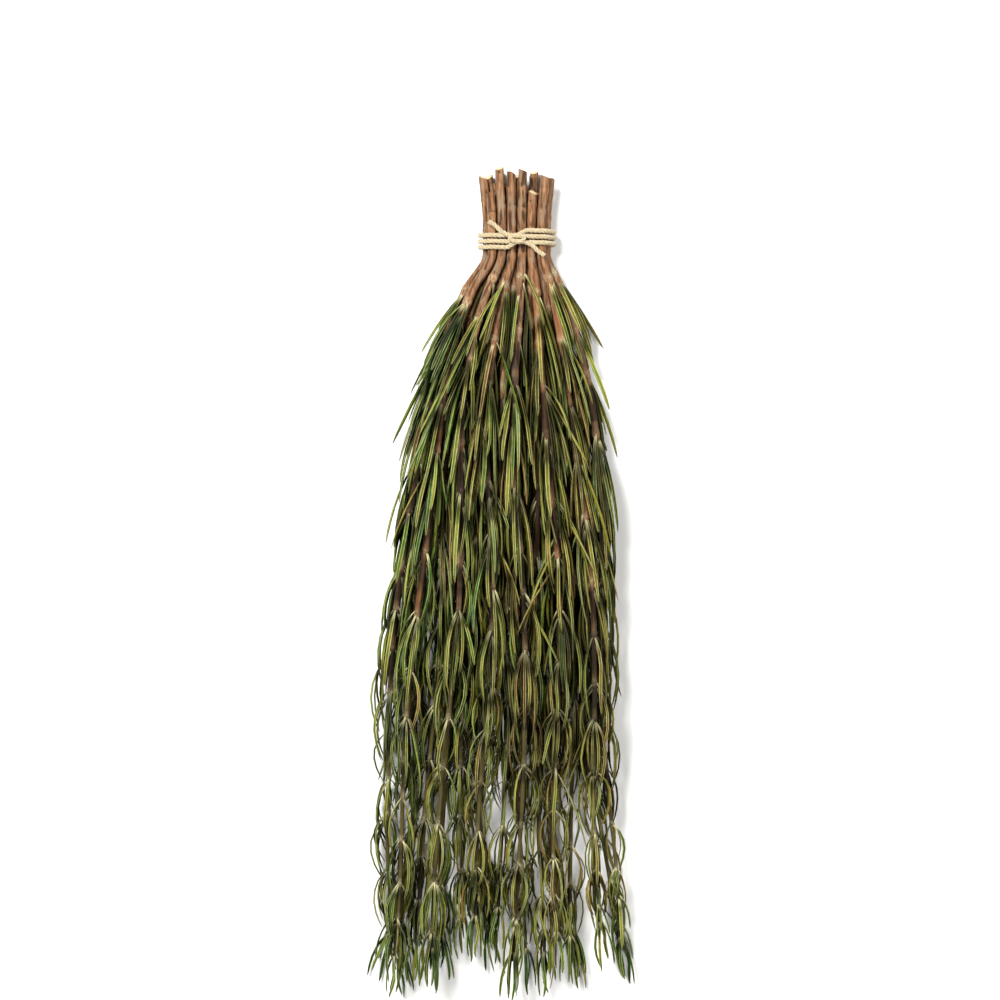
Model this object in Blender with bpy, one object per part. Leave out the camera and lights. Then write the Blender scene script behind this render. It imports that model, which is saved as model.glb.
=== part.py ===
"""A bundle of rosemary lying on a surface: nineteen leafy sprigs, tied with twine near their cut ends.

The sprigs run along Y, cut ends at +Y and tips at -Y, and the surface is z = 0. The origin is on the surface, under
the middle of the tie. Lengths are in metres. Each sprig is one solid, a woody stem joined with the needle leaves that
grow on it, and the twine with its knot is another.
"""

import math
import random

import bmesh
import bpy
import numpy as np
from mathutils import Vector

# The bundle as a whole
CUT_LENGTH = 0.024
LEAFY_LENGTH = 0.241
CUT_STAGGER = 0.009
CUT_SPLAY = 9.0
TIP_STAGGER = 0.020
ROWS = (6, 7, 6)
STEM_PITCH = 0.0033
LOWEST_STEM_HEIGHT = 0.00315
HELD_STRAIGHT = 0.0045
ROW_HEIGHTS = (0.0052, 0.0150, 0.0243)
ROW_HEIGHTS_AT_TIPS = (0.0046, 0.0108, 0.0170)
RISEN_AT = 0.38
SINKS_FROM = 0.35
HALF_WIDTH_OF_STEMS = 0.0405
DOME_DROP = 0.42
FAN_SHARE = 0.52
FAN_LENGTH = 0.10
LEAN = -0.0050
LEAN_LENGTH = 0.15

# A stem, from its cut end to its tip
STEM_RADIUS = 0.00145
STEM_TIP_RADIUS = 0.00055
STEM_TAPER = 0.9
STEM_RUNS = 10
BEND_CROWDING = 1.3
STEM_WAVE = 0.0026
WAVE_STARTS_BY = 0.25
WAVES_ACROSS, WAVES_UP = 8, 9
HOOK_FROM = 0.72
HOOK = 0.005
LIFT = 0.0014

# How the stems settle against each other: the room between their centres at the tie and among the leaves
SLICES = 54
SETTLING_ROUNDS = 40
PUSH = 0.3
EVENING = 0.1
ROOM_AT_TIE = 0.0032
ROOM_AMONG_LEAVES = 0.0080

# Needle leaves, by how far along the leafy stem they grow: 0 at the tie, 1 at the tip
STATIONS = (0.0, 0.35, 0.6, 0.85, 1.0)
NEEDLE_LENGTHS = (0.0310, 0.0300, 0.0275, 0.0240, 0.0150)
NODE_GAPS = (0.0172, 0.0170, 0.0163, 0.0152, 0.0100)
LEAVING_ANGLES = (20, 18, 36, 50, 26)
ENDING_ANGLES = (5, 2, -20, -37, -6)
CURLS_EARLIER = 0.12
NEEDLE_WIDTHS = (0.0017, 0.0016, 0.0013, 0.00105, 0.0013)
NEEDLE_THICKNESS = 0.65
NEEDLE_UNDERSIDE = 0.33
RING_WIDTHS = (0.75, 1.0, 0.8)
ROOT_FROM_CENTRE = 0.25
BEND_SHARE = 0.45
RUN_ENDS = (0.0, 0.5, 1.0)
CURLED_RUN_ENDS = (0.0, 0.36, 0.7, 1.0)
CURLED_FROM = 56
FIRST_NODES = (0.045, 0.110)
LAST_NODE = 0.985
NODE_GAP_VARIES = (0.76, 1.30)
TUFT_NEEDLES = 4

# The room that leaves keep
FLOOR_CLEAR = 0.0006
GAP = 0.00015
NEEDLE_ROOM = 0.6
CROWDED_BASE = 0.7
NEARBY = 0.003
TRIES = 14

# The tie
TWINE_RADIUS = 0.0008
TWINE_TURNS = 3
TWINE_PITCH = 0.0019
TWINE_GAP = 0.0003
PRESSED_FLAT = 0.0003
KNOT_START = 0.0030

SEED = 7
MM = 0.001


def by_station(values, reach):
    """What a table of stations gives at this reach along the leafy stem."""
    return float(np.interp(reach, STATIONS, values))


def smooth(x):
    """Rises from 0 to 1, with no slope at either end."""
    x = min(max(x, 0.0), 1.0)
    return x * x * (3 - 2 * x)


class Sprig:
    """One leafy stem: where it runs, and the needles that grow on it."""

    def __init__(self, row, place, number):
        draw = random.Random(SEED * 1000 + number)
        self.number = number
        self.row = row
        self.tie_x = (place - (ROWS[row] - 1) / 2) * STEM_PITCH
        self.tie_z = LOWEST_STEM_HEIGHT + row * STEM_PITCH * math.sqrt(3) / 2
        self.share = self.tie_x / ((max(ROWS) - 1) / 2 * STEM_PITCH)
        self.cut_y = CUT_LENGTH - draw.uniform(0, CUT_STAGGER)
        self.tip_y = -LEAFY_LENGTH + draw.uniform(0, TIP_STAGGER)
        self.phases = [draw.uniform(0, 2 * math.pi) for _ in range(2)]
        self.hook = draw.uniform(-HOOK, HOOK)
        self.lift = draw.uniform(-LIFT, LIFT)
        self.turn = draw.uniform(0, 360)
        self.nodes = self.placed_nodes(draw)
        self.needles = []

    def drawn(self, y):
        """Where the stem would cross this y if it had no neighbours, as x and z."""
        reach = max(-y - HELD_STRAIGHT, 0) / (LEAFY_LENGTH - HELD_STRAIGHT)
        beyond = max(y - HELD_STRAIGHT, 0)
        spread = FAN_SHARE * (1 - math.exp(-reach / FAN_LENGTH)) + (1 - FAN_SHARE) * reach
        wave = STEM_WAVE * smooth(reach / WAVE_STARTS_BY)
        x = self.tie_x * (1 + CUT_SPLAY * beyond) + spread * (self.share * HALF_WIDTH_OF_STEMS - self.tie_x)
        x += wave * math.sin(WAVES_ACROSS * reach + self.phases[0]) + LEAN * (1 - math.exp(-reach / LEAN_LENGTH))
        x += self.hook * smooth((reach - HOOK_FROM) / (1 - HOOK_FROM)) ** 2
        height, tips = ROW_HEIGHTS[self.row], ROW_HEIGHTS_AT_TIPS[self.row]
        height += (tips - height) * smooth((reach - SINKS_FROM) / (1 - SINKS_FROM))
        height -= DOME_DROP * (height - ROW_HEIGHTS_AT_TIPS[0]) * self.share**2
        z = self.tie_z + (height + self.lift - self.tie_z) * smooth(reach / RISEN_AT)
        z += 0.5 * wave * math.sin(WAVES_UP * reach + self.phases[1])
        return x, max(z, FLOOR_CLEAR + STEM_RADIUS)

    def centre(self, y):
        """The stem's centre where it crosses this y, once it has settled."""
        return Vector((np.interp(y, STEM_YS, self.xs), y, np.interp(y, STEM_YS, self.zs)))

    def radius(self, reach):
        return STEM_RADIUS + (STEM_TIP_RADIUS - STEM_RADIUS) * max(reach, 0.0) ** STEM_TAPER

    def line(self):
        """The points from the cut end to the tip that the stem's straight runs join, and the radius at each."""
        ys = [self.cut_y, *(y for y in STEM_YS[::-1] if self.tip_y + 0.006 < y < self.cut_y), self.tip_y]
        return [self.centre(y) for y in ys], [self.radius(y / self.tip_y) for y in ys]

    def frame(self, reach):
        """The centre at this reach, the way to the tip, and two directions square to it."""
        y = reach * self.tip_y
        along = (self.centre(y - 0.002) - self.centre(y + 0.002)).normalized()
        across = along.cross(Vector((0, 0, 1))).normalized()
        return self.centre(y), along, across, across.cross(along)

    def dryness(self, reach):
        """The reach whose curl its needles have at this reach: sprigs on the -X side dried sooner."""
        return reach + 2 * CURLS_EARLIER * (1 - self.share) * reach * (1 - reach)

    def placed_nodes(self, draw):
        """The reach of each leaf node, from the tie to the tip."""
        found, reach = [], draw.uniform(*FIRST_NODES)
        while reach < LAST_NODE - 0.02:
            found.append(reach)
            reach += by_station(NODE_GAPS, reach) * draw.uniform(*NODE_GAP_VARIES) / -self.tip_y
        return found


def stem_ys():
    """Where the stems bend, from the tips to the cut ends: closer together towards the tie, where they fan out."""
    shares = np.linspace(1, 0, STEM_RUNS + 1) ** BEND_CROWDING
    leafy = -HELD_STRAIGHT - (LEAFY_LENGTH - HELD_STRAIGHT) * shares
    return np.concatenate([leafy, [HELD_STRAIGHT, CUT_LENGTH]])


STEM_YS = stem_ys()


def bundle():
    """Every sprig of the bundle, the lowest row first, settled and without needles."""
    places = [(row, place) for row, count in enumerate(ROWS) for place in range(count)]
    sprigs = [Sprig(row, place, number) for number, (row, place) in enumerate(places)]
    settle(sprigs)
    return sprigs


def settle(sprigs):
    """Pushes the stems apart, slice by slice, and evens out their courses. The tie holds them where it is."""
    ys = np.union1d(np.linspace(-LEAFY_LENGTH, CUT_LENGTH, SLICES), (-HELD_STRAIGHT, HELD_STRAIGHT))
    drawn = np.array([[sprig.drawn(y) for sprig in sprigs] for y in ys])
    reaches = np.clip(-ys / LEAFY_LENGTH, 0, 1)
    held = ys > -2 * HELD_STRAIGHT
    room = ROOM_AT_TIE + (ROOM_AMONG_LEAVES - ROOM_AT_TIE) * np.minimum(reaches * 3, 1)
    settled = drawn.copy()
    for _ in range(SETTLING_ROUNDS):
        apart = settled[:, :, None] - settled[:, None]
        gaps = np.linalg.norm(apart, axis=3) + 1e-9
        push = np.clip(room[:, None, None] - gaps, 0, None) / gaps * PUSH
        settled += (push[..., None] * apart).sum(axis=2)
        settled[1:-1] += EVENING * (settled[:-2] + settled[2:] - 2 * settled[1:-1])
        settled[..., 1] = np.maximum(settled[..., 1], FLOOR_CLEAR + STEM_RADIUS)
        settled[held] = drawn[held]
    for i, sprig in enumerate(sprigs):
        sprig.xs, sprig.zs = (np.interp(STEM_YS, ys, settled[:, i, k]) for k in (0, 1))


class Needle:
    """One needle leaf: a quadratic curve that leaves its stem at one angle and ends at another, in degrees."""

    def __init__(self, sprig, reach, turn, length, leaving, ending, width):
        centre, along, across, up = sprig.frame(reach)
        angle, leave, end = math.radians(turn), math.radians(leaving), math.radians(ending)
        self.outward = across * math.cos(angle) + up * math.sin(angle)
        self.root = centre + self.outward * (ROOT_FROM_CENTRE * sprig.radius(reach))
        first = (along * math.cos(leave) + self.outward * math.sin(leave)) * length
        second = (along * math.cos(end) + self.outward * math.sin(end)) * length
        self.bend = self.root + first * BEND_SHARE
        self.tip = self.bend + second * (1 - BEND_SHARE)
        self.width = width
        self.curled = leaving - ending > CURLED_FROM

    def at(self, t):
        """The point this far along the needle, kept off the surface that the bundle lies on."""
        point = self.root * (1 - t) ** 2 + self.bend * (2 * t * (1 - t)) + self.tip * t**2
        point.z = max(point.z, FLOOR_CLEAR)
        return point

    def points(self):
        """The points that its straight runs join: a curled needle has one more."""
        return [self.at(t) for t in (CURLED_RUN_ENDS if self.curled else RUN_ENDS)]


def clear(start, end, runs, room):
    """Whether a straight run keeps this far from the surfaces of others: rows of start, end, radius and owner."""
    first, others, between = end - start, runs[:, 3:6] - runs[:, 0:3], start - runs[:, 0:3]
    a, e = first @ first, np.einsum("ij,ij->i", others, others)
    b, c, f = others @ first, between @ first, np.einsum("ij,ij->i", others, between)
    s = np.clip((b * f - c * e) / np.maximum(a * e - b * b, 1e-18), 0, 1)
    t = np.clip((b * s + f) / e, 0, 1)
    s = np.clip((b * t - c) / a, 0, 1)
    gaps = np.linalg.norm(between + s[:, None] * first - t[:, None] * others, axis=1) - runs[:, 6]
    return bool(np.all(gaps >= room))


class Thicket:
    """What has grown so far, as straight runs with a radius and an owner, for a new needle to keep clear of."""

    def __init__(self):
        self.runs = np.empty((0, 8))

    def add(self, points, radii, owner):
        rows = [(*start, *end, radius, owner) for start, end, radius in zip(points, points[1:], radii)]
        self.runs = np.vstack([self.runs, rows])

    def near(self, points):
        """The runs that share some stretch of Y with this line."""
        low, high = min(p.y for p in points) - NEARBY, max(p.y for p in points) + NEARBY
        starts, ends = self.runs[:, 1], self.runs[:, 4]
        return self.runs[(np.minimum(starts, ends) < high) & (np.maximum(starts, ends) > low)]

    def has_room(self, points, radius, owner):
        """Whether this line is clear of other sprigs, and past its root of its own."""
        runs = self.near(points)
        own = runs[:, 7] == owner
        for i, (start, end) in enumerate(zip(points, points[1:])):
            start, end = np.array(start), np.array(end)
            past_root = start + (end - start) * (CROWDED_BASE if i == 0 else 0.0)
            if not clear(start, end, runs[~own], radius + GAP):
                return False
            if not clear(past_root, end, runs[own], radius - GAP / 2):
                return False
        return True


def grow_needle(thicket, sprig, reach, turn, draw):
    """Grows one needle, turned, eased inwards and shortened until it has room, or left out if it finds none."""
    length = by_station(NEEDLE_LENGTHS, reach) * draw.uniform(0.84, 1.14)
    leaving = by_station(LEAVING_ANGLES, sprig.dryness(reach)) * draw.uniform(0.75, 1.3)
    ending = by_station(ENDING_ANGLES, sprig.dryness(reach)) + draw.uniform(-6, 8)
    width = by_station(NEEDLE_WIDTHS, reach) * draw.uniform(0.9, 1.05)
    for attempt in range(TRIES):
        ease = attempt / TRIES
        needle = Needle(
            sprig,
            reach + draw.uniform(-0.006, 0.006) * ease,
            turn + draw.uniform(-50, 50) * ease,
            length * (1 - 0.3 * ease),
            leaving * draw.uniform(1 - 0.5 * ease, 1 + 0.3 * ease),
            ending * (1 - ease) + draw.uniform(-2, 10) * ease,
            width,
        )
        points = needle.points()
        if thicket.has_room(points, NEEDLE_ROOM * width, sprig.number):
            sprig.needles.append(needle)
            points[0] = points[0].lerp(points[1], 0.3)
            thicket.add(points, [NEEDLE_ROOM * width] * (len(points) - 1), sprig.number)
            return


def grow(sprigs):
    """Grows the needles of all sprigs together, node by node in crossed pairs, and then a tuft on each tip."""
    thicket = Thicket()
    for sprig in sprigs:
        thicket.add(*sprig.line(), sprig.number)
    draws = [random.Random(SEED * 2000 + sprig.number) for sprig in sprigs]
    nodes = [sprig.nodes for sprig in sprigs]
    for step in range(max(map(len, nodes))):
        for sprig, draw, reaches in zip(sprigs, draws, nodes):
            for half in (0, 180) if step < len(reaches) else ():
                turn = sprig.turn + 90 * step + half + draw.uniform(-14, 14)
                grow_needle(thicket, sprig, reaches[step], turn, draw)
    for sprig, draw in zip(sprigs, draws):
        for k in range(TUFT_NEEDLES):
            turn = sprig.turn + 45 + 360 * k / TUFT_NEEDLES
            grow_needle(thicket, sprig, LAST_NODE, turn, draw)


def material(name, colour, roughness):
    """A Principled material with this colour and roughness."""
    made = bpy.data.materials.new(name)
    made.use_nodes = True
    shader = made.node_tree.nodes["Principled BSDF"]
    shader.inputs["Base Color"].default_value = (*colour, 1)
    shader.inputs["Roughness"].default_value = roughness
    return made


def to_mesh(guide):
    """The mesh of a curve object, its caps welded on. The curve is removed."""
    graph = bpy.context.evaluated_depsgraph_get()
    mesh = bpy.data.meshes.new_from_object(guide.evaluated_get(graph))
    name, place = guide.name, guide.matrix_world.copy()
    bpy.data.objects.remove(guide)
    bm = bmesh.new()
    bm.from_mesh(mesh)
    bmesh.ops.remove_doubles(bm, verts=bm.verts, dist=1e-6)
    bmesh.ops.recalc_face_normals(bm, faces=bm.faces)
    lie_on_surface(bm, PRESSED_FLAT)
    bm.to_mesh(mesh)
    bm.free()
    made = bpy.data.objects.new(name, mesh)
    made.matrix_world = place
    return made


def tube(name, points, radii, kind="POLY"):
    """A closed six-sided tube along these points."""
    curve = bpy.data.curves.new(name, "CURVE")
    curve.dimensions = "3D"
    curve.bevel_depth = 1.0
    curve.bevel_resolution = 1
    curve.resolution_u = 1
    curve.use_fill_caps = True
    spline = curve.splines.new(kind)
    spline.points.add(len(points) - 1)
    for bead, point, radius in zip(spline.points, points, radii):
        bead.co = (*point, 1)
        bead.radius = radius
    spline.use_endpoint_u = True
    guide = bpy.data.objects.new(name, curve)
    bpy.context.scene.collection.objects.link(guide)
    return to_mesh(guide)


def lie_on_surface(bm, pressed):
    """Flattens what would reach below the surface, or is pressed down to it from this height."""
    for vertex in bm.verts:
        if vertex.co.z < pressed:
            vertex.co.z = 0.0


def needle_blade(name, needle):
    """A needle as a three-sided blade: flat towards the stem, ridged away from it, and pointed."""
    points = needle.points()
    bm = bmesh.new()
    rings = []
    for i, share in enumerate(RING_WIDTHS[: len(points) - 1]):
        ahead = points[max(i, 1) + 1] - points[max(i, 1) - 1]
        side = ahead.cross(needle.outward).normalized()
        outward = side.cross(ahead).normalized()
        width = needle.width * share
        under = points[i] - outward * (NEEDLE_UNDERSIDE * NEEDLE_THICKNESS * width)
        ridge = under + outward * (NEEDLE_THICKNESS * width)
        rings.append([bm.verts.new(p) for p in (under - side * width / 2, under + side * width / 2, ridge)])
    apex = bm.verts.new(points[-1])
    bm.faces.new(rings[0])
    for k in range(3):
        for near, far in zip(rings, rings[1:]):
            bm.faces.new((near[k], near[k - 2], far[k - 2], far[k]))
        bm.faces.new((rings[-1][k], rings[-1][k - 2], apex))
    bmesh.ops.recalc_face_normals(bm, faces=bm.faces)
    lie_on_surface(bm, 0)
    mesh = bpy.data.meshes.new(name)
    bm.to_mesh(mesh)
    bm.free()
    return bpy.data.objects.new(name, mesh)


def joined(body, extras, collection, colour):
    """Joins the extras to the body with one Boolean union on a collection, and removes them."""
    group = bpy.data.collections.new(body.name + "_extras")
    bpy.context.scene.collection.children.link(group)
    for extra in extras:
        group.objects.link(extra)
    collection.objects.link(body)
    union = body.modifiers.new("Join", "BOOLEAN")
    union.operation = "UNION"
    union.operand_type = "COLLECTION"
    union.collection = group
    graph = bpy.context.evaluated_depsgraph_get()
    mesh = bpy.data.meshes.new_from_object(body.evaluated_get(graph))
    body.modifiers.clear()
    body.data = mesh
    for extra in extras:
        bpy.data.objects.remove(extra)
    bpy.data.collections.remove(group)
    mesh.materials.clear()
    mesh.materials.append(colour)


def build_sprig(sprig, collection, green):
    """One leafy stem as one solid."""
    name = f"sprig_{sprig.number + 1:02d}"
    stem = tube(name, *sprig.line())
    needles = [needle_blade(f"{name}_needle_{i}", needle) for i, needle in enumerate(sprig.needles)]
    joined(stem, needles, collection, green)


def loop_round_stems():
    """One turn of the twine, pulled tight round the outermost stems, from the middle of its top run, as x and z."""
    reach = STEM_RADIUS + TWINE_GAP + TWINE_RADIUS
    half_row, half_middle = (min(ROWS) - 1) / 2 * STEM_PITCH, (max(ROWS) - 1) / 2 * STEM_PITCH
    heights = [LOWEST_STEM_HEIGHT + row * STEM_PITCH * math.sqrt(3) / 2 for row in range(len(ROWS))]
    corners = (
        (-half_row, heights[2]),
        (-half_middle, heights[1]),
        (-half_row, heights[0]),
        (half_row, heights[0]),
        (half_middle, heights[1]),
        (half_row, heights[2]),
    )
    points = []
    for k, (x, z) in enumerate(corners):
        for share in (0, 0.5, 1):
            angle = math.radians(90 + 60 * (k + share))
            points.append((x + reach * math.cos(angle), z + reach * math.sin(angle)))
    return points


def twine_turns():
    """The twine's centre line: turns side by side, from left of the knot to right of it."""
    loop = loop_round_stems()
    top = loop[0][1]
    flat = [(-KNOT_START, top)] + loop * TWINE_TURNS + [(KNOT_START, top)]
    steps = [math.dist(a, b) for a, b in zip(flat, flat[1:])]
    gone = np.concatenate([[0], np.cumsum(steps)]) / sum(steps)
    width = TWINE_TURNS * TWINE_PITCH
    return [Vector((x, (share - 0.5) * width, z)) for (x, z), share in zip(flat, gone)]


def build_tie(collection, twine):
    """The twine: turns round the stems, and two ends that hook round each other on top and are trimmed."""
    turns = twine_turns()
    start = turns[0]
    hook = (
        (0.2, 0.0, 0.0),
        (-1.4, -0.9, 0.5),
        (-2.6, -1.7, 1.5),
        (-4.6, -1.9, 1.8),
        (-5.6, -2.9, 2.1),
        (-4.4, -3.8, 2.2),
        (-2.4, -3.7, 1.7),
        (-0.2, -4.0, 1.0),
        (2.2, -5.2, 0.7),
        (4.2, -7.2, 0.5),
        (6.4, -8.6, 0.7),
    )
    ends = []
    for name, side in (("first_end", 1), ("second_end", -1)):
        points = [
            Vector((side * (start.x - x * MM), side * (start.y - y * MM), start.z + z * MM))
            for x, y, z in hook
        ]
        ends.append(tube(name, points, [TWINE_RADIUS * 0.97] * len(points), "NURBS"))
    joined(tube("tie", turns, [TWINE_RADIUS] * len(turns)), ends, collection, twine)


def main():
    for old in list(bpy.data.objects):
        bpy.data.objects.remove(old)
    collection = bpy.data.collections.new("rosemary_bundle")
    bpy.context.scene.collection.children.link(collection)
    green = material("rosemary", (0.145, 0.140, 0.050), 0.75)
    twine = material("twine", (0.60, 0.50, 0.34), 0.9)
    sprigs = bundle()
    grow(sprigs)
    for sprig in sprigs:
        build_sprig(sprig, collection, green)
    build_tie(collection, twine)


main()
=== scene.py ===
"""The looks of the rosemary bundle: its stems, its leaves and its twine, in fine detail.

The rule that places the solids' stems and needles is repeated here, so each fine one lies where its own does.
Smaller leaves fill the room between them: short shoots at the nodes, strays, and fuller tufts on the tips.
Lengths are in metres. The bundle lies on z = 0 along Y, its cut ends at +Y.
"""

import math
import random

import bpy
import numpy as np
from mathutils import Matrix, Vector


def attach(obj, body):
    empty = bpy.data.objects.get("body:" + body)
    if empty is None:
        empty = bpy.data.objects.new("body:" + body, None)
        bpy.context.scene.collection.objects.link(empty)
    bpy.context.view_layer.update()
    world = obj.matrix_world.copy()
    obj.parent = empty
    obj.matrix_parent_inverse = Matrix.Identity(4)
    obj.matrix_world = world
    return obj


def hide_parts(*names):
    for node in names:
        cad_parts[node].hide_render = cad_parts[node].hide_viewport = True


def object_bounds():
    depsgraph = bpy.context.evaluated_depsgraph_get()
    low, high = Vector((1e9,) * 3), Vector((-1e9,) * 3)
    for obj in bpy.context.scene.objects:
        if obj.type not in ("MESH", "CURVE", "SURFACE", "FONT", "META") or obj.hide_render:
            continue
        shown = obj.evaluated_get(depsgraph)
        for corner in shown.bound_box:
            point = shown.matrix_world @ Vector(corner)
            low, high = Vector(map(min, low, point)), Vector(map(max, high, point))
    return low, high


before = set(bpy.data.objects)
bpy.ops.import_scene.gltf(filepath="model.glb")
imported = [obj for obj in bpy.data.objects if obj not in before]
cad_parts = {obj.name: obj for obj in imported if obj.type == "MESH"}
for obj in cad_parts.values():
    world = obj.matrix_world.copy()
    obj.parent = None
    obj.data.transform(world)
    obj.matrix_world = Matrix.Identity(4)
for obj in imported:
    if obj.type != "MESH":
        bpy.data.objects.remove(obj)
cad_low, cad_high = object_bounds()

# The bundle as a whole, as in the solids
CUT_LENGTH = 0.024
LEAFY_LENGTH = 0.241
CUT_STAGGER = 0.009
CUT_SPLAY = 9.0
TIP_STAGGER = 0.020
ROWS = (6, 7, 6)
STEM_PITCH = 0.0033
LOWEST_STEM_HEIGHT = 0.00315
HELD_STRAIGHT = 0.0045
ROW_HEIGHTS = (0.0052, 0.0150, 0.0243)
ROW_HEIGHTS_AT_TIPS = (0.0046, 0.0108, 0.0170)
RISEN_AT = 0.38
SINKS_FROM = 0.35
HALF_WIDTH_OF_STEMS = 0.0405
DOME_DROP = 0.42
FAN_SHARE = 0.52
FAN_LENGTH = 0.10
LEAN = -0.0050
LEAN_LENGTH = 0.15

# A stem, from its cut end to its tip
STEM_RADIUS = 0.00145
STEM_TIP_RADIUS = 0.00055
STEM_TAPER = 0.9
STEM_RUNS = 10
LEAST_RUN = 0.006
LOOK_AHEAD = 0.002
BEND_CROWDING = 1.3
STEM_WAVE = 0.0026
WAVE_STARTS_BY = 0.25
WAVES_ACROSS, WAVES_UP = 8, 9
HOOK_FROM = 0.72
HOOK = 0.005
LIFT = 0.0014

# How the stems settle against each other: the room between their centres at the tie and among the leaves
SLICES = 54
SETTLING_ROUNDS = 40
PUSH = 0.3
EVENING = 0.1
ROOM_AT_TIE = 0.0032
ROOM_AMONG_LEAVES = 0.0080
ROOM_GROWS = 3

# Needle leaves, by how far along the leafy stem they grow: 0 at the tie, 1 at the tip
STATIONS = (0.0, 0.35, 0.6, 0.85, 1.0)
NEEDLE_LENGTHS = (0.0310, 0.0300, 0.0275, 0.0240, 0.0150)
NODE_GAPS = (0.0172, 0.0170, 0.0163, 0.0152, 0.0100)
LEAVING_ANGLES = (20, 18, 36, 50, 26)
ENDING_ANGLES = (5, 2, -20, -37, -6)
CURLS_EARLIER = 0.12
NEEDLE_WIDTHS = (0.0017, 0.0016, 0.0013, 0.00105, 0.0013)
ROOT_FROM_CENTRE = 0.25
BEND_SHARE = 0.45
RUN_ENDS = (0.0, 0.5, 1.0)
CURLED_RUN_ENDS = (0.0, 0.36, 0.7, 1.0)
CURLED_FROM = 56
FIRST_NODES = (0.045, 0.110)
LAST_NODE = 0.985
NODES_END_BEFORE = 0.02
NODE_GAP_VARIES = (0.76, 1.30)
NEEDLE_LENGTH_VARIES = (0.84, 1.14)
NEEDLE_WIDTH_VARIES = (0.9, 1.05)
LEAVING_VARIES = (0.75, 1.3)
ENDING_VARIES = (-6, 8)
PAIR_SWINGS = 14
TUFT_NEEDLES = 4

# The room that leaves keep
FLOOR_CLEAR = 0.0006
GAP = 0.00015
NEEDLE_ROOM = 0.6
CROWDED_BASE = 0.7
PAST_ROOT = 0.3
NEARBY = 0.003
TRIES = 14

# How far a needle's last try may depart from its first
EASED_REACH = 0.006
EASED_TURN = 50
EASED_LENGTH = 0.3
EASED_LEAVING = (-0.5, 0.3)
EASED_ENDING = (-2, 10)

# The tie
TWINE_RADIUS = 0.0008
TWINE_TURNS = 3
TWINE_PITCH = 0.0019
TWINE_GAP = 0.0003
KNOT_START = 0.0030

SEED = 7
MM = 0.001

# The smaller leaves, which only the scene has: the tables are by station, and the pairs are ranges
SHOOT_LEAVES = (25, 27, 31, 23, 11)
SHOOT_LEAVES_VARY = (0.45, 1.3)
SHOOT_SPREADS = (0.026, 0.020, 0.010, 0.006, 0.010)
SHOOT_LENGTH_VARIES = (0.6, 1.18)
SHOOT_WIDTH_VARIES = (0.68, 0.98)
LEAST_CURLS = (0.30, 0.40, 0.65, 0.75, 0.60)
MOST_CURLS = (1.2, 1.2, 1.25, 1.35, 1.2)
INWARD = (-46, -32, -12, -10, -6)
OUTWARD = 3
BARE_FRONTS = (0.55, 0.52, 0.40, 0.25, 0.2)
BARE_FRONT_TURNS = (138, 402)
STRAY_CHANCES = (0.05, 0.04, 0.01, 0.0, 0.0)
STRAY_LEAVING = (25, 45)
STRAY_ENDING = (0, 30)
TUFT_LEAVES = 8
TUFT_DEPTH = 0.05
TUFT_LENGTH_VARIES = (0.5, 0.95)
TUFT_WIDTH_VARIES = (0.65, 0.95)
TUFT_LEAVING = (8, 30)
TUFT_ENDING = (-12, 6)
LEAF_TRIES = 8
LEAF_ROOM = 0.37
ROOM_PAST_ROOT = 0.99
PAST_STEMS = 0.0055

# A fine leaf: how wide it is along its length, and its section. A row of the section gives the place across
# the leaf, the height over it, and the crest: from -1 in a groove to 1 on a ridge, which the leaf's colour
# takes as painted highlight on the ridges and painted shade in the grooves and at the edges.
RINGS = (0.0, 0.04, 0.11, 0.26, 0.44, 0.62, 0.79, 0.91, 0.98)
RING_WIDTHS = (0.42, 0.50, 0.74, 0.95, 1.0, 1.0, 0.92, 0.72, 0.36)
SECTION = (
    (-0.50, 0.00, -1.0),
    (-0.46, 0.32, 0.6),
    (-0.34, 0.48, 1.0),
    (-0.19, 0.10, -1.0),
    (0.0, 0.12, -0.7),
    (0.19, 0.10, -1.0),
    (0.34, 0.48, 1.0),
    (0.46, 0.32, 0.6),
    (0.50, 0.00, -1.0),
    (0.28, -0.34, -0.2),
    (0.0, -0.24, -0.8),
    (-0.28, -0.34, -0.2),
)
FINE_WIDTH = 0.86
LEAF_THICKNESS = 0.66
FINE_FLOOR = 0.0002
SWAY = 0.0003
SWAY_GROWS = 0.0008
TWIST_AT_ROOT = 0.5
TWIST_ALONG = 0.9
TWIST_LEAST = 0.4

# How green each leaf is, from 0, dead, to 1, fresh: more towards -X, and different by sprig and by leaf
GREEN = 0.43
GREENER_WEST = 0.18
WEST_FROM = 0.35
WEST_SLOPE = 0.8
GREEN_VARIES = 0.19
GREEN_OF_SPRIG_VARIES = 0.07
DEAD_SHARE = 0.04
DEAD_LOSES = 0.6
PALE_SHARE = 0.10

# How full the bundle is, by which shade is painted deep inside it: the cells it is measured in, how far it is
# averaged, how finely runs are sampled, what counts as full, and from where on the stems show it.
FILL_CELL = 0.0012
FILL_BLUR = 3
FILL_MARGIN = 0.008
FILL_SAMPLES = 14
FILL_LEAST = 0.05
FULL_PERCENTILE = 90
LOOSE_FROM = 0.25

# A fine stem
STEM_SIDES = 18
STEM_RING_STEP = 0.0016
BARE_RING_STEP = 0.0006
BARE_TO = -0.035
CUT_RIM, CUT_PITH = 0.90, 0.28
CUT_SLANT, CUT_RINGS = 0.5, 3
PITH_RISE = 0.0001

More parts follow.
